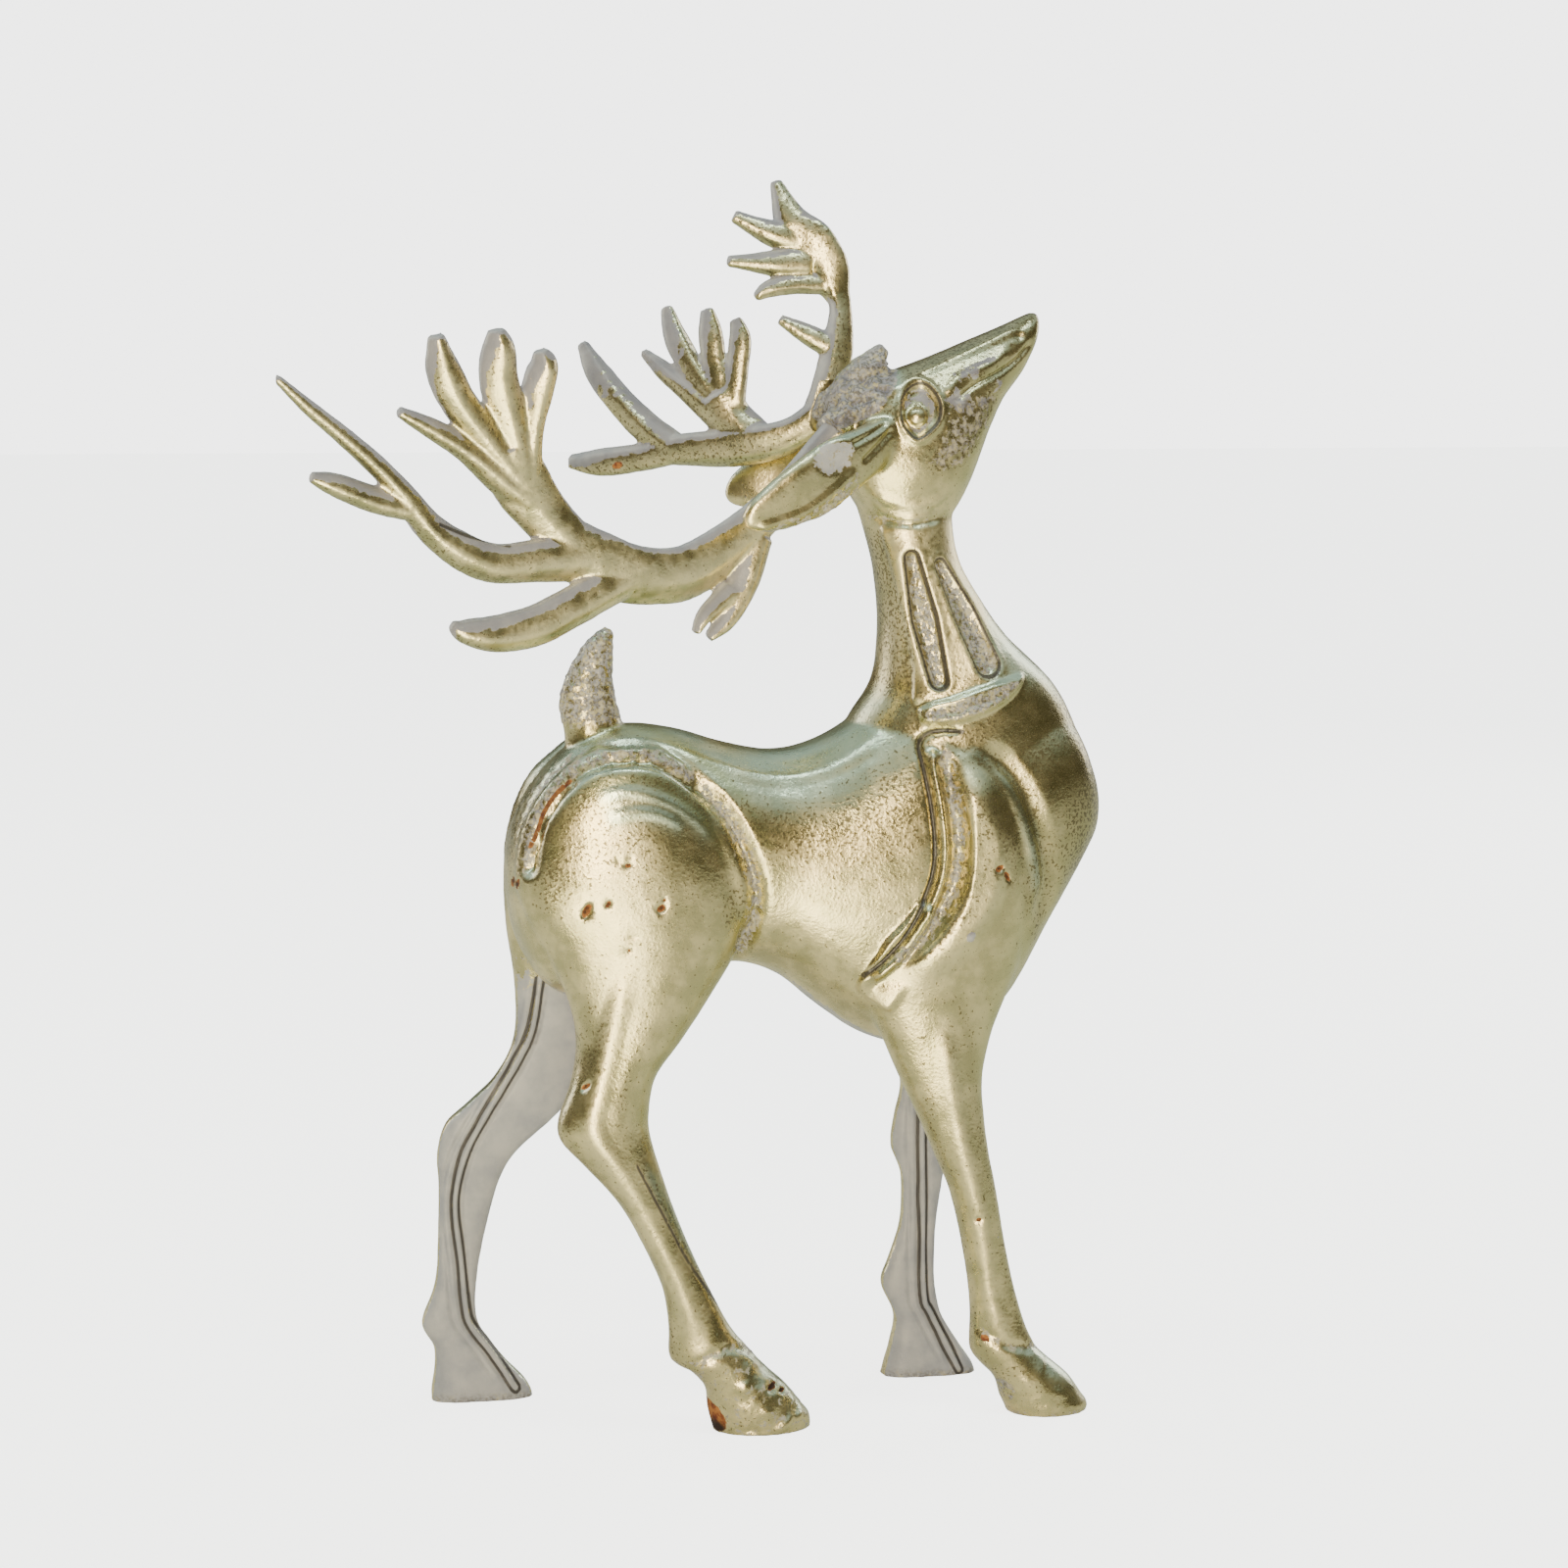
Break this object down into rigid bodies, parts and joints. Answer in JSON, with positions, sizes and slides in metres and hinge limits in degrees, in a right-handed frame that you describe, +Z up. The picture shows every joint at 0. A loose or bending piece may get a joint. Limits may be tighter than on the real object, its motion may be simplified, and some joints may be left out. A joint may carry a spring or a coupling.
{
  "type": "reindeer figurine",
  "caption": "Standing reindeer figurine with raised head, upright tail and wide branching antlers, worn pale gold foil over moulded grey plastic, stands on its hooves.",
  "frame": {"origin": "on the surface under the hooves, below the centre of the whole figure's box", "axes": "+X the way the reindeer faces, +Y its left side, +Z up"},
  "size_m": [0.1328, 0.0708, 0.198],
  "materials": {
    "body_foil": "moulded grey plastic with a worn, speckled pale champagne gold foil; bare light grey on the inner sides of the legs, the crown and the tail",
    "antler_foil": "moulded grey plastic with pale champagne gold foil on the outer faces, bare light grey on the backs"
  },
  "bodies": {
    "root": {"body": "body_foil", "antler_right": "antler_foil", "antler_left": "antler_foil"}
  },
  "joints": []
}
